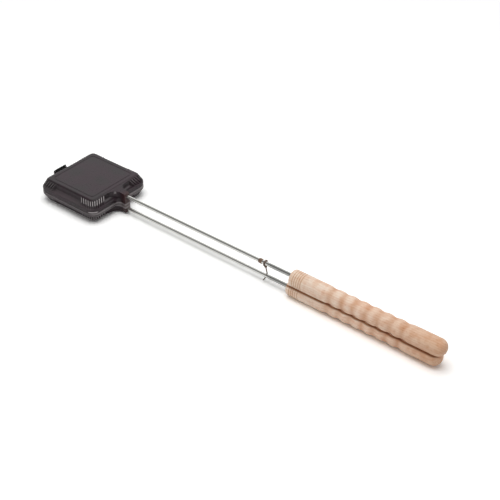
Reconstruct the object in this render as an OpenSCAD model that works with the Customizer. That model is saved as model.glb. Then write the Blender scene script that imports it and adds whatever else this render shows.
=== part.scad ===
// Long-handled pie iron: two square cast-iron shells that hinge on a hooked bar,
// carried on steel rods with turned wooden handles and held shut by a wire latch.
// X runs from the head to the handles, Z is up, and the origin is the middle of
// the flat face that the lower shell rests on.

/* [Head] */
// Width and depth of each shell over its lip
pan_w = 120; // [100:1:150]
// Height of each shell, from its outer plate to the parting plane
pan_h = 19; // [17:0.5:26]
// Plan radius of the lip's corners
corner_r = 15; // [13:0.5:20]
// Height of the lip above the parting plane
lip_h = 7; // [5:0.5:8]
// Radius of the lip's outer edge
lip_round = 2; // [1.5:0.1:2.4]
// Radius of the lip's edge at the parting plane
seam_round = 1.2; // [0.4:0.1:1.4]
// How far the outer plate stands in from the lip
plate_inset = 7.7; // [7:0.1:9]
// Radius of the hollow between the lip and the wall of the plate
cove_r = 5; // [2:0.25:5.2]
// Radius of the plate's edge
plate_round = 3.5; // [1:0.1:4.5]
// Air between the two closed shells
seat_gap = 0.3; // [0.1:0.05:0.6]

/* [Toasting hollow] */
// Width of the flat rim that pinches the bread
rim_w = 7.5; // [6:0.5:10]
// Thickness of the plate under the hollow
plate_t = 4.5; // [3:0.25:6]
// How far the hollow's wall leans in from rim to floor
hollow_draft = 2.5; // [1:0.25:3.5]
// Radius between the hollow's wall and its floor
hollow_round = 4; // [2:0.5:4]

/* [Corner flutes] */
// Number of flutes at each corner
flutes = 11; // [5:2:13]
// Thickness of one flute
flute_w = 1.5; // [1:0.1:1.8]
// Spacing of the flutes, across the corner's diagonal
flute_pitch = 3.4; // [2.6:0.1:3.6]
// How far the flutes stand in from the lip's face
flute_in = 1; // [0.3:0.1:1.5]
// How far the flutes' tops stay below the plate
flute_drop = 1.2; // [0.8:0.1:2]

/* [Plate frame line] */
// Distance of the sunk frame line from the plate's edge
frame_in = 8.4; // [5:0.2:15]
// Width of the sunk frame line
frame_w = 1.2; // [0.8:0.1:3]
// Depth of the sunk frame line
frame_d = 0.4; // [0.2:0.1:1]

/* [Necks] */
// Distance of the neck's end from the lip's face
neck_l = 15; // [15:0.5:25]
// Half width of the neck where it is slimmest
neck_r = 5; // [4.6:0.1:8]
// Radius of the flare from the neck to the wall of the plate
flare_r = 15; // [10:0.5:17]
// Radius of the flare from the neck to the lip
lip_flare_r = 7; // [5:0.5:9]
// How far the neck's top stays below the plate where it meets the wall
neck_drop = 0.8; // [0.4:0.1:2]
// Half width of the collar at the neck's end
collar_r = 5.7; // [5.4:0.1:9]
// Length of the collar
collar_l = 5.5; // [3:0.5:6]
// Bevel on the collar's edges
collar_bevel = 0.8; // [0.2:0.1:1.5]

/* [Hinge] */
// Distance of the bead's centre from the lip's face
hinge_out = 11; // [10:0.25:16]
// Radius of the bead on the tongue's end
bead_r = 2.9; // [2.5:0.1:3.2]
// Thickness of the tongue at the bead
tongue_t = 2.8; // [2:0.1:3]
// Width of the tongue
tongue_w = 22; // [14:0.2:40]
// Height of the tongue's root above the parting plane
tongue_root = 4.5; // [2.5:0.1:5]
// Air between the tongue and the lower shell's lip
tongue_gap = 0.5; // [0.3:0.1:1]
// Air between the bead and the hook
hook_gap = 0.3; // [0.1:0.05:0.6]
// Thickness of the hook
hook_t = 3.7; // [3:0.1:4]
// Width of the hook
hook_w = 23.6; // [14:0.2:40]
// Angle at which the hook ends above the bead, in degrees
hook_tip = 125; // [120:5:135]

/* [Rods] */
// Diameter of each rod
rod_d = 6; // [5:0.1:8]
// Distance between the two rods, centre to centre
rod_spacing = 21.6; // [20:0.2:26]
// Depth of the rod's socket in the neck
socket_l = 18; // [12:0.5:20]
// Radial fit of the rods in their sockets
socket_fit = 0.05; // [0.02:0.01:0.1]

/* [Handles] */
// Distance from the lip's face to the front of the upper handle
handle_x = 336; // [250:1:450]
// How far the lower handle is seated nearer to the head
handle_stagger = 5; // [0:0.5:12]
// Length of each handle
handle_l = 252.5; // [240:0.5:320]
// Greatest radius of the turned handle
handle_r = 12.75; // [12.5:0.25:16]
// How far the turned axis lies inward of the rod
handle_in = 1.7; // [0:0.1:2.2]
// Air between the two flats of the closed handles
flat_gap = 0.3; // [0.1:0.1:1]
// Depth of the rod's hole in the handle
handle_bore_l = 125; // [60:5:200]
// Radius of the handle's front edge
front_round = 4; // [2:0.5:6]
// Length of the domed tip
tip_l = 12; // [6:0.5:20]
// Number of finger grooves
grooves = 7; // [3:1:8]
// Spacing of the finger grooves
groove_pitch = 19.65; // [12:0.05:20]
// Depth of the finger grooves
groove_d = 1.4; // [0.5:0.1:2.5]
// Distance of the first groove's edge from the handle's front
groove_x = 61.2; // [40:0.2:70]
// Number of fine turned lines at the front
lines = 5; // [1:1:8]
// Spacing of the fine turned lines
line_pitch = 3.6; // [2:0.1:5]
// Depth of the fine turned lines
line_d = 0.35; // [0.1:0.05:0.8]

/* [Latch] */
// Distance from the lip's face to the latch's eye
latch_x = 287; // [100:1:320]
// Diameter of the latch wire
wire_d = 2; // [1.5:0.1:2.6]
// Radial fit of the latch's eye on the upper rod
eye_fit = 0.08; // [0.02:0.01:0.1]
// Air between the latch's hook and the lower rod
catch_gap = 0.35; // [0.2:0.05:0.8]
// Radius of the wire end that is wound round the shank to close the eye
turn_r = 0.7; // [0.4:0.1:0.9]
// Number of turns wound round the shank
eye_turns = 2; // [1:1:3]
// How far the hook turns below the lower rod's middle, in degrees
catch_turn = 76; // [60:2:88]
// Length of the finger tail
tail_l = 6; // [3:0.5:12]
// Distance of the stop collar from the latch's eye
stop_x = 7; // [5:0.5:15]
// Outer radius of the stop collar
stop_r = 4.4; // [4.2:0.1:6]
// Length of the stop collar
stop_l = 4.4; // [2:0.2:6]

/* [Hidden] */
$fn = 64;
cut = 1;            // how far cutters run past the faces they cut
half_w = pan_w / 2;
rod_r = rod_d / 2;
rod_off = rod_spacing / 2;            // rod centre from the parting plane
axis_x = -half_w - hinge_out;         // hinge axis, on the parting plane
neck_end = half_w + neck_l;
plate_x = half_w - plate_inset;       // wall of the outer plate
handle_off = rod_off - handle_in;     // turned axis from the parting plane
neck_top = pan_h - neck_drop;
socket_end = neck_end - socket_l;
rod_end = half_w + handle_x + handle_bore_l;
wire_r = wire_d / 2;
wire_step = 0.08;   // how much thinner the wire's straights are than its bends
wire_seat = 0.4;    // how far a straight runs into a bend
eye_r = rod_r + eye_fit + wire_r;
catch_r = rod_r + catch_gap + wire_r;
line_w = line_pitch / 3;

function arc(c, r, from, to, n) =
    [for (k = [0 : n]) c + r * [cos(from + (to - from) * k / n), sin(from + (to - from) * k / n)]];

// ---- shells ----
// Outlines are drawn with X inward from the lip's face and Y up from the parting plane.

// Outer wall of a shell: lip, hollow cove and plate edge
module wall_outline() {
    bottom = seat_gap / 2;
    cove_x = plate_inset - cove_r;
    translate([lip_round, bottom]) square([corner_r - lip_round, lip_h - bottom]);
    translate([0, bottom + seam_round]) square([corner_r, lip_h - lip_round - bottom - seam_round]);
    translate([lip_round, lip_h - lip_round]) circle(r = lip_round);
    translate([seam_round, bottom + seam_round]) circle(r = seam_round);
    translate([seam_round, bottom]) square([corner_r - seam_round, seam_round]);
    difference() {
        translate([cove_x, lip_h - cut]) square([cove_r, cut + cove_r]);
        translate([cove_x, lip_h + cove_r]) circle(r = cove_r);
    }
    translate([plate_inset, bottom])
        square([corner_r - plate_inset, pan_h - plate_round - bottom]);
    translate([plate_inset + plate_round, bottom])
        square([corner_r - plate_inset - plate_round, pan_h - bottom]);
    translate([plate_inset + plate_round, pan_h - plate_round]) circle(r = plate_round);
}

// Space of the toasting hollow
module hollow_outline() {
    floor_z = pan_h - plate_t;
    foot = rim_w + hollow_draft;
    polygon(concat(
        [[corner_r, -cut], [rim_w, -cut], [rim_w, 0]],
        arc([foot + hollow_round, floor_z - hollow_round], hollow_round, 180, 90, 6),
        [[corner_r, floor_z]]));
}

// One corner flute, standing in the cove: its edge slopes from the plate's edge out to the lip
module flute_outline() {
    root = plate_inset + plate_round;
    top = pan_h - flute_drop;
    polygon([[flute_in, lip_h - cut], [flute_in, lip_h], [plate_inset, top], [root, top],
             [root, lip_h - cut]]);
}

// Carries an outline round a square with rounded corners, and fills the middle
module round_square(bottom, top) {
    straight = pan_w - 2 * corner_r;
    for (side = [0 : 3]) rotate([0, 0, 90 * side]) {
        translate([half_w, straight / 2, 0]) rotate([90, 0, 0])
            linear_extrude(straight) mirror([1, 0]) children();
        translate([straight / 2, straight / 2, 0]) rotate_extrude(angle = 90)
            translate([corner_r, 0]) mirror([1, 0]) children();
    }
    translate([-straight / 2, -straight / 2, bottom]) cube([straight, straight, top - bottom]);
}

// Corner flutes: plates that stand in line with each corner's diagonal, cut to the flute's slope
module corner_flutes() {
    side = (flutes - 1) / 2;
    reach = half_w * sqrt(2);
    intersection() {
        round_square(lip_h - cut, pan_h - flute_drop) flute_outline();
        for (corner = [0 : 3], k = [-side : side]) rotate([0, 0, 45 + 90 * corner])
            translate([reach / 2, k * flute_pitch - flute_w / 2, lip_h - cut])
                cube([reach / 2, flute_w, pan_h - lip_h]);
    }
}

// Plan of half a neck: a slim web that flares out to the wall at wall_x
module neck_plan(wall_x, flare, seat) {
    translate([wall_x - seat, 0]) square([neck_end - collar_bevel - wall_x + seat, neck_r]);
    difference() {
        translate([wall_x - seat, 0]) square([flare + seat, neck_r + flare]);
        translate([wall_x + flare, neck_r + flare]) circle(r = flare);
    }
}

// Half the collar's outline along the neck, X along the neck and Y outward
module collar_outline() {
    from = neck_end - collar_l;
    polygon([[from, 0], [from, collar_r - collar_bevel], [from + collar_bevel, collar_r],
             [neck_end - collar_bevel, collar_r], [neck_end, collar_r - collar_bevel], [neck_end, 0]]);
}

// Neck with the rod's socket still solid: a web that falls from the plate to the collar
module neck() {
    low = seat_gap / 2;
    intersection() {
        for (turn = [0, 1]) mirror([0, turn, 0])
            translate([0, 0, low]) linear_extrude(pan_h)
                neck_plan(plate_x, flare_r, plate_round);
        translate([0, half_w, 0]) rotate([90, 0, 0]) linear_extrude(pan_w)
            polygon([[0, 0], [0, neck_top], [plate_x, neck_top], [neck_end, rod_off + collar_r],
                     [neck_end, 0]]);
    }
    for (turn = [0, 1]) mirror([0, turn, 0]) translate([0, 0, low]) {
        linear_extrude(lip_h - lip_round / 2 - low) neck_plan(half_w, lip_flare_r, lip_round + cut);
        linear_extrude(rod_off - low) collar_outline();
    }
    translate([0, 0, rod_off]) rotate([0, 90, 0]) rotate_extrude() rotate(90) mirror([0, 1])
        collar_outline();
}

module frame_line() {
    outer = pan_w - 2 * (plate_inset + frame_in);
    round_r = corner_r / 3;
    translate([0, 0, pan_h - frame_d]) linear_extrude(frame_d + cut) difference() {
        rounded(outer, round_r);
        rounded(outer - 2 * frame_w, round_r - frame_w / 2);
    }
}

module rounded(w, r) {
    for (turn = [0, 90]) rotate(turn) square([w, w - 2 * r], center = true);
    for (x = [-1, 1], y = [-1, 1]) translate([x * (w / 2 - r), y * (w / 2 - r)]) circle(r = r);
}

// One shell above the parting plane, lip outward and plate up
module shell() {
    difference() {
        union() {
            round_square(seat_gap / 2, pan_h) wall_outline();
            corner_flutes();
            neck();
        }
        round_square(-cut, pan_h - plate_t) hollow_outline();
        frame_line();
        translate([socket_end, 0, rod_off]) rotate([0, 90, 0])
            cylinder(r = rod_r + socket_fit, h = socket_l + cut);
    }
}

// Tongue on the upper shell, with the round bead that turns in the hook
module tongue() {
    root_x = -half_w;
    translate([0, tongue_w / 2, 0]) rotate([90, 0, 0]) linear_extrude(tongue_w) {
        translate([axis_x, 0]) circle(r = bead_r);
        polygon([[axis_x, tongue_t / 2], [root_x, tongue_root], [root_x + lip_round, tongue_root],
                 [root_x + lip_round, seam_round], [root_x - tongue_gap, seam_round],
                 [root_x - tongue_gap, -tongue_t / 2], [axis_x, -tongue_t / 2]]);
    }
}

module upper_pan() color("#2b2928") translate([0, 0, pan_h]) {
    shell();
    tongue();
}

// Hook on the lower shell: a shank that turns up round the bead's far side and over its top
module hook() {
    inner = bead_r + hook_gap;
    outer = inner + hook_t;
    far = 3 * outer;
    translate([axis_x, hook_w / 2, 0]) rotate([90, 0, 0]) linear_extrude(hook_w) {
        difference() {
            circle(r = outer);
            circle(r = inner);
            polygon([[0, 0], [0, -far], [far, -far], [far, far], [0, far],
                     far * [cos(hook_tip), sin(hook_tip)]]);
        }
        translate([0, -outer]) square([hinge_out + lip_round + cut, hook_t]);
    }
}

module lower_pan() color("#2b2928") translate([0, 0, pan_h]) {
    rotate([180, 0, 0]) shell();
    hook();
}

// ---- rods and handles ----

module rod(back) {
    translate([socket_end + socket_fit, 0, 0]) rotate([0, 90, 0])
        cylinder(r = rod_r, h = rod_end - back - socket_end - 2 * socket_fit);
}

module upper_rod() color("#c9c8c4") translate([0, 0, pan_h + rod_off]) rod(0);

module lower_rod() color("#c9c8c4") translate([0, 0, pan_h - rod_off]) rod(handle_stagger);

// Turned outline of a handle, as [distance from the front, radius]
function handle_points() = concat(
    [[0, 0]],
    arc([front_round, handle_r - front_round], front_round, 180, 90, 6),
    [for (k = [1 : lines], p = [[-line_w, 0], [0, -line_d], [line_w, 0]])
        [front_round + k * line_pitch + p[0], handle_r + p[1]]],
    [for (k = [0 : 10 * grooves])
        [groove_x + k * groove_pitch / 10, handle_r - groove_d * (1 - cos(36 * k)) / 2]],
    [for (a = [0 : 10 : 90]) [handle_l - tip_l + tip_l * sin(a), handle_r * cos(a)]]);

// Handle with its front at X 0 and the rod's centre on the X axis
module handle() {
    difference() {
        translate([0, 0, -handle_in]) rotate([0, 90, 0]) rotate_extrude()
            rotate([0, 0, 90]) mirror([0, 1]) polygon(handle_points());
        translate([-cut, -2 * handle_r, -rod_off - 3 * handle_r + flat_gap / 2])
            cube([handle_l + 2 * cut, 4 * handle_r, 3 * handle_r]);
        translate([-cut, 0, 0]) rotate([0, 90, 0])
            cylinder(r = rod_r + socket_fit, h = handle_bore_l + cut);
    }
}

module upper_handle() color("#dcc0a4")
    translate([half_w + handle_x, 0, pan_h + rod_off]) handle();

module lower_handle() color("#d6b796")
    translate([half_w + handle_x - handle_stagger, 0, pan_h - rod_off]) rotate([180, 0, 0]) handle();

// ---- latch ----

// Straight wire from the origin along X, a hair thinner than the bends that its ends run into
module wire(length) rotate([0, 90, 0]) cylinder(r = wire_r - wire_step, h = length);

// Wire latch, drawn in its own plane with the upper rod at the origin: an eye round the
// upper rod closed by turns wound on the shank, a hook under the lower rod and a finger tail
module latch() color("#6d6a66")
    translate([half_w + latch_x, 0, pan_h + rod_off]) rotate([90, 0, 90]) {
        drop = rod_spacing - eye_r;
        lean = asin(catch_r / drop);
        rotate_extrude() translate([eye_r, 0]) circle(r = wire_r);
        translate([0, -eye_r]) rotate([0, 0, lean - 90]) {
            wire(drop * cos(lean) + wire_seat);
            for (k = [0 : eye_turns - 1]) translate([2 * wire_r + k * 1.8 * turn_r, 0, 0])
                rotate([0, 90, 0]) rotate_extrude() translate([wire_r + turn_r / 2, 0]) circle(r = turn_r);
        }
        translate([0, -rod_spacing]) {
            rotate([0, 0, -catch_turn]) rotate_extrude(angle = catch_turn + lean)
                translate([catch_r, 0]) circle(r = wire_r);
            rotate([0, 0, -catch_turn]) translate([catch_r, wire_seat]) rotate([0, 0, -90])
                wire(tail_l + wire_seat);
        }
    }

// Collar crimped on the upper rod, which keeps the latch from sliding to the head
module latch_stop() color("#5d4a3c")
    translate([half_w + latch_x - stop_x, 0, pan_h + rod_off]) rotate([0, 90, 0]) {
        bevel = (stop_r - rod_r) / 3;
        rotate_extrude() translate([rod_r + socket_fit, 0])
            polygon([[0, -stop_l / 2], [stop_r - rod_r - bevel, -stop_l / 2], [stop_r - rod_r, bevel - stop_l / 2],
                     [stop_r - rod_r, stop_l / 2 - bevel], [stop_r - rod_r - bevel, stop_l / 2], [0, stop_l / 2]]);
    }

lower_pan();
upper_pan();
lower_rod();
upper_rod();
lower_handle();
upper_handle();
latch();
latch_stop();
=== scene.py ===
import math
import bpy
import numpy as np
from mathutils import Matrix, Vector


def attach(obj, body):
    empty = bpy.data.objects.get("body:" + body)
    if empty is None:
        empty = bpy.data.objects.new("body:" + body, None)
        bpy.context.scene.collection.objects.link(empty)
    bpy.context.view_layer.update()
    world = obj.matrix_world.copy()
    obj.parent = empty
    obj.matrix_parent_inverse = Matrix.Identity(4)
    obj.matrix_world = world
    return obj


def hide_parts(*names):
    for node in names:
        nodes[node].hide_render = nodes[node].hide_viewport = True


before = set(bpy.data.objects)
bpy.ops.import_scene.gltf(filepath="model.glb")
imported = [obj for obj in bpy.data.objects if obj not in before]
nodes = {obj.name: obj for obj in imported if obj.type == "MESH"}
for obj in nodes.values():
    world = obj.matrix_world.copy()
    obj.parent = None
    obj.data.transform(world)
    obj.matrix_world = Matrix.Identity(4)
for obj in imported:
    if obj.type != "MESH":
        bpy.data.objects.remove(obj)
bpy.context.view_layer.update()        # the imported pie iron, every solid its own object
print("frame loaded:", len(nodes), "nodes")

seamHeight = 0.019       # Z of the plane where the closed halves meet, metres

# lengths are metres, apart from those whose names say Mm, and angles are degrees
cameraLook = {
    "lens": 87.71,                        # mm, on a sensor as wide as the next value
    "sensor": 36.0,
    "clip": (0.05, 50.0),
    "azimuth": 39.25,                     # 0 looks along +Y
    "elevation": 35.65,
    "place": (1.2154, -1.09761, 1.05633),
}

lightLook = {
    "roomStrength": 0.36,                 # what the room gives to matt surfaces
    "wallHex": "ffffff",                  # what polished surfaces see of the room's white walls
    "dimHex": "797977",                   # and of its two dim places
    "dimTowards": (-0.51, -0.43, 0.74),   # high over the head on the camera's side, which the rods mirror
    "dimRadius": 38.0,
    "cornerSides": (0.05, 0.35),          # X and Y of the direction where the low far right corner begins
    "cornerHeight": (0.20, 0.45),         # Z of the direction over which it ends
    "panelTowards": (0.50, 0.63, 0.62),   # a bright panel above that corner
    "panelRadius": 24.0,
    "panelStrength": 1.9,
    "rim": 7.0,                           # either side of a radius, where a disc fades out
    "keyPower": 43.0,                     # watts, a broad soft box overhead
    "keyPlace": (0.20, -0.10, 2.60),
    "keySize": 2.1,
    "target": (0.25, 0.0, 0.02),
}

floorLook = {
    "hex": "f6f6f5",
    "gain": 1.42,                         # how much brighter the camera sees the paper
    "half": 4.0,                          # from the centre to an edge
    "middle": (0.30, 0.0, 0.0),
    "white": (0.75, 1.30),                # distance from the middle over which the paper turns plain white
    "touchShell": (-0.0505, 0.0),         # x, z where the shell's far edge stands
    "touchHandle": (0.412, -0.00285),     # x, z where the lower handle rests
}


# sRGB hex to linear RGBA: c / 12.92 in the dark, ((c + 0.055) / 1.055) ** 2.4 above
def toLinear(hexText):
    channels = [int(hexText[i:i + 2], 16) / 255 for i in (0, 2, 4)]
    linear = [c / 12.92 if c <= 0.04045 else ((c + 0.055) / 1.055) ** 2.4 for c in channels]
    return (*linear, 1.0)


# adds a node with its settings; an input is a value, a socket to link, or a node, which stands for its first
# output in use
def addNode(tree, kind, settings=None, inputs=None):
    node = tree.nodes.new("ShaderNode" + kind)
    for name, value in (settings or {}).items():
        setattr(node, name, value)
    for name, value in (inputs or {}).items():
        if isinstance(value, bpy.types.Node):
            value = next(socket for socket in value.outputs if socket.enabled)
        if isinstance(value, bpy.types.NodeSocket):
            tree.links.new(value, node.inputs[name])
        else:
            node.inputs[name].default_value = value
    return node


# joins masks of 0 to 1: MULTIPLY keeps what all of them hold, MAXIMUM what any of them holds
def joinMasks(tree, operation, *masks):
    joined = masks[0]
    for mask in masks[1:]:
        joined = addNode(tree, "Math", {"operation": operation}, {0: joined, 1: mask})
    return joined


# a mask from a value: it comes smoothly over rise and goes over fall, which are pairs of limits, or None
def softMask(tree, value, rise=None, fall=None):
    steps = []
    for limits, start, end in ((rise, 0.0, 1.0), (fall, 1.0, 0.0)):
        if limits:
            steps.append(addNode(tree, "MapRange", {"interpolation_type": "SMOOTHSTEP"},
                                 {"Value": value, "From Min": limits[0], "From Max": limits[1],
                                  "To Min": start, "To Max": end}))
    return joinMasks(tree, "MULTIPLY", *steps)


# a mask round a direction: the cosine of the angle to it steps from 0 to 1 at the radius
def discMask(tree, direction, towards, radius, rim):
    cosine = addNode(tree, "VectorMath", {"operation": "DOT_PRODUCT"},
                     {0: direction, 1: Vector(towards).normalized()})
    limits = [math.cos(math.radians(angle)) for angle in (radius + rim, radius - rim)]
    return softMask(tree, cosine, rise=limits)


# the camera's own axes from azimuth a and elevation e: right = (cos a, sin a, 0) and
# back = (sin a cos e, -cos a cos e, sin e)
def setCamera(look):
    a, e = math.radians(look["azimuth"]), math.radians(look["elevation"])
    right = Vector((math.cos(a), math.sin(a), 0))
    back = Vector((math.sin(a) * math.cos(e), -math.cos(a) * math.cos(e), math.sin(e)))
    turn = Matrix((right, back.cross(right), back)).transposed().to_4x4()
    data = bpy.data.cameras.new("camera")
    data.lens, data.sensor_width, data.sensor_fit = look["lens"], look["sensor"], "AUTO"
    data.clip_start, data.clip_end = look["clip"]
    camera = bpy.data.objects.new("camera", data)
    camera.matrix_world = Matrix.Translation(look["place"]) @ turn
    bpy.context.scene.collection.objects.link(camera)
    bpy.context.scene.camera = camera


def addSoftBox(look):
    data = bpy.data.lights.new("softBox", "AREA")
    data.shape, data.size, data.energy = "SQUARE", look["keySize"], look["keyPower"]
    aim = Vector(look["target"]) - Vector(look["keyPlace"])
    turn = aim.to_track_quat("-Z", "Y").to_matrix().to_4x4()
    lamp = bpy.data.objects.new("softBox", data)
    lamp.matrix_world = Matrix.Translation(look["keyPlace"]) @ turn
    lamp.visible_glossy = False           # the rods show the room, not the lamp
    bpy.context.scene.collection.objects.link(lamp)


# the room: even for matt surfaces; polished ones see white walls, a dim place high over the head, a dim low
# corner at the far right and a bright panel above that; the camera sees plain white
def setRoom(look):
    world = bpy.data.worlds.new("studio")
    bpy.context.scene.world = world
    world.use_nodes = True
    tree = world.node_tree
    tree.nodes.clear()
    direction = addNode(tree, "TexCoord").outputs["Generated"]
    x, y, z = addNode(tree, "SeparateXYZ", inputs={0: direction}).outputs
    corner = joinMasks(tree, "MULTIPLY", softMask(tree, x, rise=look["cornerSides"]),
                       softMask(tree, y, rise=look["cornerSides"]),
                       softMask(tree, z, fall=look["cornerHeight"]))
    overhead = discMask(tree, direction, look["dimTowards"], look["dimRadius"], look["rim"])
    seen = addNode(tree, "Mix", {"data_type": "RGBA"},
                   {"Factor": joinMasks(tree, "MAXIMUM", corner, overhead),
                    "A": toLinear(look["wallHex"]), "B": toLinear(look["dimHex"])})
    panel = discMask(tree, direction, look["panelTowards"], look["panelRadius"], look["rim"])
    power = addNode(tree, "MapRange", inputs={"Value": panel, "To Min": 1.0, "To Max": look["panelStrength"]})
    white = toLinear("ffffff")
    surface = addNode(tree, "Background", inputs={"Color": white, "Strength": look["roomStrength"]})
    mirrored = addNode(tree, "Background", inputs={"Color": seen, "Strength": power})
    backdrop = addNode(tree, "Background", inputs={"Color": white, "Strength": 1.0})
    path = addNode(tree, "LightPath").outputs
    for ray, shown in (("Glossy", mirrored), ("Transmission", backdrop), ("Camera", backdrop)):
        surface = addNode(tree, "MixShader", inputs={0: path[f"Is {ray} Ray"], 1: surface, 2: shown})
    addNode(tree, "OutputWorld", inputs={"Surface": surface})


# matt white paper, overexposed where the camera sees it, on the plane through the two lines that the iron
# stands on: z = z0 + (z1 - z0) / (x1 - x0) * (x - x0)
def addFloor(look):
    (x0, z0), (x1, z1) = look["touchShell"], look["touchHandle"]
    corners = np.array([(-1, -1), (1, -1), (1, 1), (-1, 1)], float) * look["half"]
    heights = z0 + (z1 - z0) / (x1 - x0) * (corners[:, 0] - x0)
    mesh = bpy.data.meshes.new("floor")
    mesh.from_pydata(np.column_stack([corners, heights]).tolist(), [], [(0, 1, 2, 3)])
    floor = bpy.data.objects.new("floor", mesh)
    bpy.context.scene.collection.objects.link(floor)
    material = bpy.data.materials.new("paperSweep")
    material.use_nodes = True
    tree = material.node_tree
    tree.nodes.clear()
    byCamera = addNode(tree, "LightPath").outputs["Is Camera Ray"]
    paper = toLinear(look["hex"])
    exposed = (*(channel * look["gain"] for channel in paper[:3]), 1.0)
    colour = addNode(tree, "Mix", {"data_type": "RGBA"}, {"Factor": byCamera, "A": paper, "B": exposed})
    away = addNode(tree, "VectorMath", {"operation": "DISTANCE"},
                   {0: addNode(tree, "TexCoord").outputs["Object"], 1: look["middle"]})
    sweep = addNode(tree, "MixShader", inputs={
        0: joinMasks(tree, "MULTIPLY", softMask(tree, away, rise=look["white"]), byCamera),
        1: addNode(tree, "BsdfDiffuse", inputs={"Color": colour}),
        2: addNode(tree, "Emission", inputs={"Color": toLinear("ffffff"), "Strength": 1.0})})
    addNode(tree, "OutputMaterial", inputs={"Surface": sweep})
    mesh.materials.append(material)


setCamera(cameraLook)
addSoftBox(lightLook)
setRoom(lightLook)
addFloor(floorLook)
bpy.context.scene.view_settings.view_transform = "Standard"
print("camera, light and floor set")


# an empty material, with its tree and the place on the piece that its patterns follow
def startMaterial(name):
    material = bpy.data.materials.new(name)
    material.use_nodes = True
    tree = material.node_tree
    tree.nodes.clear()
    return material, tree, addNode(tree, "TexCoord").outputs["Object"]


# gives a material its Principled shader
def finishMaterial(tree, inputs):
    addNode(tree, "OutputMaterial", inputs={"Surface": addNode(tree, "BsdfPrincipled", inputs=inputs)})


# noise scale for a pattern with spots of this size
def perMetre(millimetres):
    return 1000.0 / millimetres


ironLook = {
    "darkHex": "130e10",
    "paleHex": "3c3036",
    "plumHex": "341f2a",
    "oliveHex": "282324",
    "tintAt": (0.40, 0.60),           # where the patches' noise gives those two
    "rustHex": "44201a",
    "rust": (0.064, 0.075),           # X over which the rust bloom comes on the neck
    "hingeShadeHex": "060505",              # painted shade on the hinge: blacker, and rougher than the rest
    "hingeShade": (-0.0635, -0.0615),       # X over which it ends
    "hingeShadeRough": 0.75,
    "highlightHex": "b9b2b3",              # pale metallic colour for painted highlights on the edges and flutes
    "highlightMetal": 0.3,
    "specular": 0.34,
    "grainMm": 1.8,                   # sand grain is 0.3 mm; drawn coarser, because that is too fine to show
    "patchMm": 30.0,                  # uneven seasoning
    "grainRise": (0.3, 0.7),          # values of the grain's noise over which the roughness rises
    "rough": (0.26, 0.40),
    "bumpMm": 0.16,
}

# where highlights are painted on the iron: the pairs are limits over which the painted highlight comes and
# goes, and those of the tips, lips, ledge and glint are distances from the plane where the shells meet
ironHighlightLook = {
    "neckEnd": (0.050, 0.058),                       # X where the sides turn into the end with the neck
    "nearCorner": ((0.01, 0.02), (-0.02, -0.01)),    # X and Y that tell the near corner, with the strongest painted highlights, from the others
    "below": (-0.0003, 0.0),                         # Z, on the lower shell
    "above": (0.0, 0.0003),                          # and on the upper one
    "fluteCentre": (0.045, 0.045, 0.0),              # x and y of the point that a corner is rounded about
    "fluteSlope": 0.62,                              # the cone that the flutes' sloped faces lie on
    "fluteReach": 0.01834,
    "fluteSkin": (0.0003, 0.0007),                   # distance from that cone
    "fluteSpan": (0.0235, 0.0255),                   # distance to the side of the corner's diagonal
    "fluteTips": ((0.0100, 0.0125), (0.0168, 0.0178)),
    "fluteHighlight": (0.12, 0.75),                       # painted highlight on the flutes' tops, at three corners, and stronger at the near one
    "lipOut": (0.0115, 0.0130),                      # distance out from the corner's point
    "lipUpper": ((-0.0004, 0.0004), (0.0022, 0.0036)),  # the lower lip's upper edge, and its lower edge
    "lipLower": ((0.0048, 0.0062), (0.0082, 0.0095)),
    "lipBetween": 0.45,                              # share of that painted highlight on the face between those two
    "lipHighlight": (0.20, 0.40),                         # painted highlight on the lower lip, along the sides, and at the end with the neck
    "ledge": ((0.0052, 0.0068), (0.0085, 0.0110)),   # painted highlight on both lips' outer edges, but not at the neck
    "ledgeHighlight": 0.10,
    "glint": ((0.0004, 0.0010), (0.0024, 0.0034)),   # a painted glint on the upper lip's lower edge at the near corner
    "glintOut": (0.0125, 0.0135),
    "glintSpan": (0.007, 0.013),
    "glintHighlight": 0.8,
    "spots": ((0.0575, -0.0090, 0.0345), (0.0605, -0.0155, 0.0180)),  # painted highlights where the neck's fillets begin
    "spotRadius": (0.0009, 0.0030),
    "spotHighlight": 0.45,
}
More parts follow.
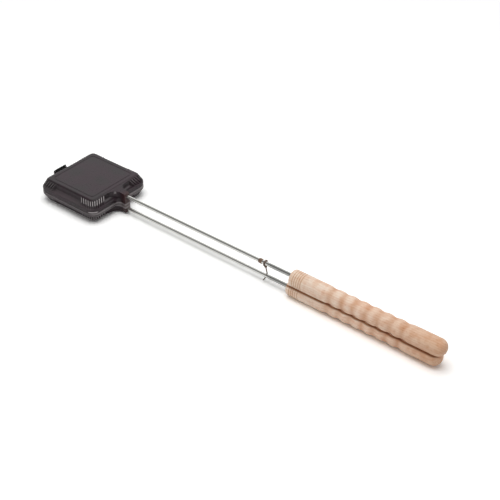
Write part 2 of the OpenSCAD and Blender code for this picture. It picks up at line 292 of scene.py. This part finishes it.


# painted highlights on the iron as a mask. All corners are folded into one, whose x and y run from the point
# that
# it is rounded about: out = sqrt(max(x, 0)^2 + max(y, 0)^2) and h = |z - seamHeight|. The flutes' sloped
# faces lie on the cone out + fluteSlope * h = fluteReach
def addIronHighlights(tree, look, place):
    centred = addNode(tree, "VectorMath", {"operation": "SUBTRACT"}, {0: place, 1: (0.0, 0.0, seamHeight)})
    sideX, sideY, sideZ = addNode(tree, "SeparateXYZ", inputs={0: centred}).outputs
    folded = addNode(tree, "VectorMath", {"operation": "ABSOLUTE"}, {0: centred})
    corner = addNode(tree, "VectorMath", {"operation": "SUBTRACT"}, {0: folded, 1: look["fluteCentre"]})
    x, y, h = addNode(tree, "SeparateXYZ", inputs={0: corner}).outputs
    outward = addNode(tree, "VectorMath", {"operation": "MAXIMUM"}, {0: corner, 1: (0.0, 0.0, 0.0)})
    level = addNode(tree, "VectorMath", {"operation": "MULTIPLY"}, {0: outward, 1: (1.0, 1.0, 0.0)})
    out = addNode(tree, "VectorMath", {"operation": "LENGTH"}, {0: level})
    cone = addNode(tree, "Math", {"operation": "MULTIPLY_ADD"}, {0: h, 1: look["fluteSlope"], 2: out})
    offCone = addNode(tree, "Math", {"operation": "SUBTRACT"}, {0: cone, 1: look["fluteReach"]})
    offDiagonal = addNode(tree, "Math", {"operation": "SUBTRACT"}, {0: x, 1: y})
    skin = addNode(tree, "Math", {"operation": "ABSOLUTE"}, {0: offCone})
    span = addNode(tree, "Math", {"operation": "ABSOLUTE"}, {0: offDiagonal})
    neckEnd = softMask(tree, sideX, rise=look["neckEnd"])
    nearCorner = joinMasks(tree, "MULTIPLY", softMask(tree, sideX, rise=look["nearCorner"][0]),
                           softMask(tree, sideY, fall=look["nearCorner"][1]))
    fluteHighlight, lipHighlight = (
        addNode(tree, "MapRange", inputs={"Value": mask, "To Min": look[name][0], "To Max": look[name][1]})
        for mask, name in ((nearCorner, "fluteHighlight"), (neckEnd, "lipHighlight")))
    flutes = joinMasks(tree, "MULTIPLY", softMask(tree, skin, fall=look["fluteSkin"]),
                       softMask(tree, span, fall=look["fluteSpan"]),
                       softMask(tree, h, *look["fluteTips"]), fluteHighlight)
    between = joinMasks(tree, "MULTIPLY", softMask(tree, h, fall=look["lipLower"][1]), look["lipBetween"])
    edges = joinMasks(tree, "MAXIMUM", softMask(tree, h, *look["lipUpper"]),
                      softMask(tree, h, *look["lipLower"]), between)
    lip = joinMasks(tree, "MULTIPLY", softMask(tree, sideZ, fall=look["below"]),
                    softMask(tree, out, rise=look["lipOut"]), edges, lipHighlight)
    ledge = joinMasks(tree, "MULTIPLY", softMask(tree, h, *look["ledge"]),
                      softMask(tree, sideX, fall=look["neckEnd"]), look["ledgeHighlight"])
    glint = joinMasks(tree, "MULTIPLY", softMask(tree, h, *look["glint"]), nearCorner,
                      softMask(tree, span, fall=look["glintSpan"]), softMask(tree, sideZ, rise=look["above"]),
                      softMask(tree, out, rise=look["glintOut"]), look["glintHighlight"])
    # painted highlights: small round spots at the neck's fillets
    spots = []
    for centre in look["spots"]:
        away = addNode(tree, "VectorMath", {"operation": "DISTANCE"}, {0: place, 1: centre})
        sheenSpot = softMask(tree, away, fall=look["spotRadius"])
        spots.append(joinMasks(tree, "MULTIPLY", sheenSpot, look["spotHighlight"]))
    return joinMasks(tree, "MAXIMUM", flutes, lip, ledge, glint, *spots)


# cast iron, sand cast and seasoned: dark, a little warm, with a broad soft gloss over fine grain, painted
# highlights on its edges and flutes and painted shade on the hinge
def makeCastIron(look):
    material, tree, place = startMaterial("seasonedCastIron")
    alongX = addNode(tree, "SeparateXYZ", inputs={0: place}).outputs["X"]
    grain = addNode(tree, "TexNoise", inputs={"Vector": place, "Scale": perMetre(look["grainMm"]),
                                              "Detail": 4.0, "Roughness": 0.6})
    patch = addNode(tree, "TexNoise", inputs={"Vector": place, "Scale": perMetre(look["patchMm"]),
                                              "Detail": 3.0, "Roughness": 0.5})
    tone = addNode(tree, "Mix", {"data_type": "RGBA"},
                   {"Factor": grain, "A": toLinear(look["darkHex"]), "B": toLinear(look["paleHex"])})
    tint = addNode(tree, "ValToRGB", inputs={"Fac": patch})
    for stop, position, hexName in zip(tint.color_ramp.elements, look["tintAt"], ("plumHex", "oliveHex")):
        stop.position, stop.color = position, toLinear(look[hexName])
    colour = addNode(tree, "Mix", {"data_type": "RGBA"}, {"Factor": 0.5, "A": tone, "B": tint})
    bloom = addNode(tree, "MapRange", inputs={"Value": alongX, "From Min": look["rust"][0],
                                              "From Max": look["rust"][1]})
    rust = joinMasks(tree, "MULTIPLY", bloom, grain)
    # painted shade: the hinge drawn near black
    hingeShade = softMask(tree, alongX, fall=look["hingeShade"])
    # painted highlights: pale metallic colour on the flutes, lips, ledges, a glint and spots
    paintedHighlight = addIronHighlights(tree, ironHighlightLook, place)
    for mask, hexName in ((rust, "rustHex"), (hingeShade, "hingeShadeHex"), (paintedHighlight, "highlightHex")):
        colour = addNode(tree, "Mix", {"data_type": "RGBA"},
                         {"Factor": mask, "A": colour, "B": toLinear(look[hexName])})
    rough = addNode(tree, "MapRange", inputs={
        "Value": grain, "From Min": look["grainRise"][0], "From Max": look["grainRise"][1],
        "To Min": look["rough"][0], "To Max": look["rough"][1]})
    finishMaterial(tree, {
        "Base Color": colour,
        "Metallic": joinMasks(tree, "MULTIPLY", paintedHighlight, look["highlightMetal"]),
        "Roughness": addNode(tree, "Mix", {"data_type": "FLOAT"},
                             {"Factor": hingeShade, "A": rough, "B": look["hingeShadeRough"]}),
        "Specular IOR Level": look["specular"],
        "Normal": addNode(tree, "Bump", inputs={"Height": grain, "Strength": 0.5,
                                                "Distance": look["bumpMm"] / 1000})})
    return material


steelLook = {
    "hex": "f1f1ee",
    "duskHex": "dcdbd6",
    "dullHex": "b5b5b2",              # the hand's end of the bars, between the latch and the handles
    "dull": (0.345, 0.362),           # X over which it begins
    "dullRough": 0.28,
    "lineMm": 0.9,                    # drawing lines are 0.05 mm; drawn wider so that they show
    "lineLengthMm": 160.0,
    "rough": (0.09, 0.22),
    "bumpMm": 0.02,
}


# bright drawn steel bar: mirror-like across, streaked along its length by the drawing die
def makeDrawnSteel(look):
    material, tree, place = startMaterial("brightDrawnSteel")
    alongX = addNode(tree, "SeparateXYZ", inputs={0: place}).outputs["X"]
    width = perMetre(look["lineMm"])
    drawn = addNode(tree, "Mapping", inputs={"Vector": place,
                                             "Scale": (perMetre(look["lineLengthMm"]), width, width)})
    lines = addNode(tree, "TexNoise", inputs={"Vector": drawn, "Scale": 1.0, "Detail": 3.0})
    colour = addNode(tree, "Mix", {"data_type": "RGBA"},
                     {"Factor": lines, "A": toLinear(look["hex"]), "B": toLinear(look["duskHex"])})
    polish = addNode(tree, "MapRange", inputs={"Value": lines, "To Min": look["rough"][0],
                                               "To Max": look["rough"][1]})
    dull = softMask(tree, alongX, rise=look["dull"])
    finishMaterial(tree, {
        "Base Color": addNode(tree, "Mix", {"data_type": "RGBA"},
                              {"Factor": dull, "A": colour, "B": toLinear(look["dullHex"])}),
        "Metallic": 1.0,
        "Roughness": addNode(tree, "Mix", {"data_type": "FLOAT"},
                             {"Factor": dull, "A": polish, "B": look["dullRough"]}),
        "Normal": addNode(tree, "Bump", inputs={"Height": lines, "Strength": 0.2,
                                                "Distance": look["bumpMm"] / 1000})})
    return material


beechLook = {
    "frontHex": "f9e6d5",             # colour at the front, in the middle and at the browner tip
    "middleHex": "fde4d0",
    "tipHex": "e6c0a2",
    "hexAt": (0.05, 0.5, 0.95),       # shares of the length where those three are
    "length": 0.2525,
    # these darken that colour: uneven bands, soft mottling, growth rings and flecks, each with the values of
    # its noise over which it comes
    "band": {"hex": "f6e8de", "rise": (0.35, 0.75), "share": 1.0},
    "mottle": {"hex": "f6e9df", "rise": (0.42, 0.66), "share": 1.0},
    "ring": {"hex": "efdfd0", "rise": (0.45, 1.0), "share": 0.3},
    "fleck": {"hex": "d8bca6", "rise": (0.56, 0.78), "share": 0.6},
    "grooveShadeHex": "eddccf",            # painted shade in the finger grooves
    "lineHex": "e4cfba",              # dirt in the fine turned lines
    "seamShadeHex": "9c7656",              # painted shade along the lower half's edge under the seam, where the upper half overhangs it, with some browning
    "bandMm": 6.0,
    "bandLengthMm": 90.0,
    "mottleMm": 11.0,
    "ringMm": 3.1,
    "ringLean": (0.0, 3.1, 2.2),
    "fleckMm": 0.9,                   # beech rays are 0.3 by 2 mm; drawn coarser so that they show
    "fleckLengthMm": 6.0,
    "firstGroove": 0.0612,            # from the front to the first finger groove's edge
    "groovePitch": 0.01965,
    "grooves": 7,
    "groovePower": 2.8,               # how far the painted shade keeps to the bottoms of the grooves
    "firstLine": 0.004,               # from the front to one pitch before the first line
    "linePitch": 0.0036,
    "lines": 5,
    "lineWidth": (0.0003, 0.0012),
    "edge": 0.0002,                   # over which grooves and lines begin and end
    "seamBelow": (0.00360, 0.00144),  # under the seam's height, where the painted shade of the brown edge comes
    "seamAbove": (0.0001, 0.0009),    # and over it, where it ends
    "flat": (0.9, 0.97),              # how upright the normal is on the flat between the halves
    "rough": 0.5,
    "bumpMm": 0.05,
    "shift": {"lower": (3.1, -0.031, 0.052), "upper": (0.0, 0.024, 0.047)},  # each half is another cut
}


# steamed beech, turned and sanded: pale pinkish tan, browner at the tip, with growth rings cut by the lathe,
# short darker flecks, dirt in the turned lines, and painted shade in the finger grooves and along the seam
def makeBeech(half, look):
    material, tree, place = startMaterial("turnedBeech" + half.capitalize())
    shift = look["shift"][half]
    front = min(corner[0] for corner in nodes[half + "_handle"].bound_box)
    x, y, z = addNode(tree, "SeparateXYZ", inputs={0: place}).outputs
    fromFront = addNode(tree, "Math", {"operation": "SUBTRACT"}, {0: x, 1: front})
    # colour along the handle
    share = addNode(tree, "Math", {"operation": "DIVIDE"}, {0: fromFront, 1: look["length"]})
    along = addNode(tree, "ValToRGB", inputs={"Fac": share})
    along.color_ramp.elements.new(0.5)
    for stop, position, hexName in zip(along.color_ramp.elements, look["hexAt"],
                                       ("frontHex", "middleHex", "tipHex")):
        stop.position, stop.color = position, toLinear(look[hexName])
    # bands and flecks are noise drawn out along the handle
    bandMap, fleckMap = (
        addNode(tree, "Mapping", inputs={"Vector": place, "Location": shift,
                                         "Scale": [perMetre(look[size]) for size in (length, width, width)]})
        for length, width in (("bandLengthMm", "bandMm"), ("fleckLengthMm", "fleckMm")))
    bands = addNode(tree, "TexNoise", inputs={"Vector": bandMap, "Scale": 1.0, "Detail": 4.0,
                                              "Roughness": 0.55})
    flecks = addNode(tree, "TexNoise", inputs={"Vector": fleckMap, "Scale": 1.0, "Detail": 2.0})
    mottles = addNode(tree, "TexNoise", inputs={"Vector": place, "Scale": perMetre(look["mottleMm"]),
                                                "Detail": 2.0})
    # rings round a pith that lies beside the handle and leans a little; a wave's period is
    # 2 pi / (20 * scale)
    lean = [math.radians(angle) for angle in look["ringLean"]]
    leaning = addNode(tree, "Mapping", inputs={"Vector": place, "Location": shift, "Rotation": lean})
    rings = addNode(tree, "TexWave", {"wave_type": "RINGS", "rings_direction": "X"},
                    {"Vector": leaning, "Scale": perMetre(look["ringMm"]) * math.pi / 10,
                     "Distortion": 2.5, "Detail": 2.0, "Detail Scale": 0.35}).outputs["Fac"]
    # painted shade, 1 at the bottom of each finger groove and 0 on the ridges between: |sin(pi * s / pitch)|
    # ^ power, with s from the first groove's edge
    pace = math.pi / look["groovePitch"]
    turn = addNode(tree, "Math", {"operation": "MULTIPLY_ADD"},
                   {0: fromFront, 1: pace, 2: -look["firstGroove"] * pace})
    wave = addNode(tree, "Math", {"operation": "SINE"}, {0: turn})
    depth = addNode(tree, "Math", {"operation": "ABSOLUTE"}, {0: wave})
    deep = addNode(tree, "Math", {"operation": "POWER"}, {0: depth, 1: look["groovePower"]})
    start, edge = look["firstGroove"], look["edge"]
    end = start + look["grooves"] * look["groovePitch"]
    grooveShade = joinMasks(tree, "MULTIPLY", deep, softMask(
        tree, fromFront, rise=(start - edge, start + edge), fall=(end - edge, end + edge)))
    # distance to the nearest turned line, only between the first and the last
    fromLine = addNode(tree, "Math", {"operation": "SUBTRACT"}, {0: fromFront, 1: look["firstLine"]})
    toLine = addNode(tree, "Math", {"operation": "PINGPONG"}, {0: fromLine, 1: look["linePitch"] / 2})
    start = look["firstLine"] + 0.5 * look["linePitch"]
    end = start + look["lines"] * look["linePitch"]
    dirt = joinMasks(tree, "MULTIPLY", softMask(tree, toLine, fall=look["lineWidth"]),
                     softMask(tree, fromFront, rise=(start, start + edge), fall=(end - edge, end)))
    # painted shade, brown, just under the seam's height where the upper half overhangs, with some browning,
    # but not on the flat itself, whose normal is upright
    normal = addNode(tree, "TexCoord").outputs["Normal"]
    upright = addNode(tree, "Math", {"operation": "ABSOLUTE"},
                      {0: addNode(tree, "SeparateXYZ", inputs={0: normal}).outputs["Z"]})
    seamShade = joinMasks(tree, "MULTIPLY", softMask(tree, upright, fall=look["flat"]),
                     softMask(tree, z, rise=[seamHeight - below for below in look["seamBelow"]],
                              fall=[seamHeight + above for above in look["seamAbove"]]))
    layers = []
    for noise, name in ((bands, "band"), (mottles, "mottle"), (rings, "ring"), (flecks, "fleck")):
        mask = softMask(tree, noise, rise=look[name]["rise"])
        layers.append((joinMasks(tree, "MULTIPLY", mask, look[name]["share"]), look[name]["hex"]))
    # painted shade in the grooves and along the seam, and dirt in the turned lines
    layers += [(grooveShade, look["grooveShadeHex"]), (dirt, look["lineHex"]), (seamShade, look["seamShadeHex"])]
    colour = along
    for mask, hexText in layers:
        colour = addNode(tree, "Mix", {"data_type": "RGBA", "blend_type": "MULTIPLY"},
                         {"Factor": mask, "A": colour, "B": toLinear(hexText)})
    finishMaterial(tree, {
        "Base Color": colour,
        "Roughness": look["rough"],
        "Normal": addNode(tree, "Bump", inputs={"Height": flecks, "Strength": 0.25,
                                                "Distance": look["bumpMm"] / 1000})})
    return material


wireLook = {
    "hex": "78716c",
    "rustHex": "7e6656",
    "spotMm": 3.0,
    "metallic": 0.8,
    "rough": 0.42,
    "bumpMm": 0.08,
}

collarLook = {
    "hex": "9a8373",
    "rustHex": "7a6152",
    "spotMm": 2.0,
    "metallic": 0.8,
    "rough": 0.62,
    "bumpMm": 0.08,
}


# plain mild steel that has stood in heat: grey-brown oxide in blotches, dull gloss
def makeDullSteel(name, look):
    material, tree, place = startMaterial(name)
    spots = addNode(tree, "TexNoise", inputs={"Vector": place, "Scale": perMetre(look["spotMm"]),
                                              "Detail": 3.0})
    finishMaterial(tree, {
        "Base Color": addNode(tree, "Mix", {"data_type": "RGBA"},
                              {"Factor": spots, "A": toLinear(look["hex"]), "B": toLinear(look["rustHex"])}),
        "Metallic": look["metallic"],
        "Roughness": look["rough"],
        "Normal": addNode(tree, "Bump", inputs={"Height": spots, "Strength": 0.4,
                                                "Distance": look["bumpMm"] / 1000})})
    return material


stopLook = {
    "middle": (0.3390, 0.0, 0.0298),      # on the upper rod, on the head's side of the latch
    "halfLength": 0.0032,
    "boreRadius": 0.0028,                 # inside the rod, so that no gap shows
    "wall": 0.0010,
    "crimps": 3,
    "crimpDepth": 0.18,                   # share of the wall
    "lean": 0.12,                         # share of the half length
    "rings": 33,
    "spokes": 60,
}


# crimped sleeve: along the rod s runs from -1 to 1 and round it a from 0 to 2 pi, with
# radius = bore + wall * (1 - s^6) * (1 - crimpDepth * (1 + cos(crimps * a)) / 2 * (1 - s^2)), and its middle
# leans along the rod by lean * halfLength * cos(a) * (1 - s^2)
def makeStop(look):
    s = np.linspace(-1.0, 1.0, look["rings"])[:, None]
    a = np.linspace(0.0, 2 * np.pi, look["spokes"], endpoint=False)[None, :]
    crimp = look["crimpDepth"] * (1 + np.cos(look["crimps"] * a)) / 2 * (1 - s ** 2)
    radius = look["boreRadius"] + look["wall"] * (1 - s ** 6) * (1 - crimp)
    along = look["halfLength"] * (s + look["lean"] * np.cos(a) * (1 - s ** 2))
    x, y, z = look["middle"]
    points = np.stack([x + along, y + radius * np.sin(a), z + radius * np.cos(a)], axis=-1).reshape(-1, 3)
    ends = [(x - look["halfLength"], y, z), (x + look["halfLength"], y, z)]
    # quads between the rings, and a fan of triangles that closes each end
    spokes = look["spokes"]
    ring = np.arange(look["rings"] - 1)[:, None] * spokes
    spoke = np.arange(spokes)
    after = (spoke + 1) % spokes
    quads = np.stack([ring + spoke, ring + spokes + spoke, ring + spokes + after, ring + after], axis=-1)
    last = ring[-1] + spokes
    centre = np.full(spokes, len(points))
    fans = np.vstack([np.stack([spoke, after, centre], axis=-1),
                      np.stack([last + after, last + spoke, centre + 1], axis=-1)])
    mesh = bpy.data.meshes.new("crimpedStop")
    mesh.from_pydata(np.vstack([points, ends]).tolist(), [], quads.reshape(-1, 4).tolist() + fans.tolist())
    mesh.shade_smooth()
    stop = bpy.data.objects.new("crimpedStop", mesh)
    bpy.context.scene.collection.objects.link(stop)
    return stop


stop = makeStop(stopLook)
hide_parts("latch_stop")
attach(stop, "upper_half")
print("stop collar made")


# gives a CAD node its material in every slot
def dress(nodeName, material):
    slots = nodes[nodeName].data.materials
    if not slots:
        slots.append(material)
    for i in range(len(slots)):
        slots[i] = material


castIron = makeCastIron(ironLook)
drawnSteel = makeDrawnSteel(steelLook)
for half in ("lower", "upper"):
    dress(half + "_pan", castIron)
    dress(half + "_rod", drawnSteel)
    dress(half + "_handle", makeBeech(half, beechLook))
dress("latch", makeDullSteel("dullSteelWire", wireLook))
brownedSteel = makeDullSteel("brownedSteelCollar", collarLook)
dress("latch_stop", brownedSteel)
stop.data.materials.append(brownedSteel)
print("materials on")
